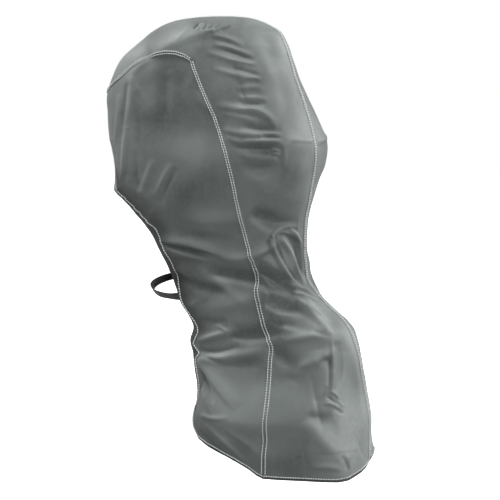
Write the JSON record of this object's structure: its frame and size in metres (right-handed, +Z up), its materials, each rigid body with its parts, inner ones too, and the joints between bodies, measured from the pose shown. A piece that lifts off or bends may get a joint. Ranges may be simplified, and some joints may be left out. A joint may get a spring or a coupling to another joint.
{
  "type": "outboard motor cover",
  "caption": "Full-length fitted cloth cover for a tilted outboard motor: domed head, drawn-in waist, deep leg, open hemmed front and a webbing strap.",
  "frame": {"origin": "inner face of the cover's top at the middle plane, where the motor's cowl carries it", "axes": "+Z up, +X aft (away from the boat), +Y to starboard; the cover's fore-and-aft middle plane is Y = 0"},
  "size_m": [0.937, 0.4464, 1.4761],
  "materials": {
    "cover_cloth": "coated woven polyester, satin, mid grey",
    "strap_webbing": "ribbed polypropylene webbing, black",
    "topstitch_thread": "polyester sewing thread, off-white"
  },
  "bodies": {
    "root": {"front_side_panel_port": "cover_cloth", "front_side_panel_starboard": "cover_cloth", "top_and_back_panel_port": "cover_cloth", "top_and_back_panel_starboard": "cover_cloth", "front_strap": "strap_webbing"}
  },
  "joints": []
}
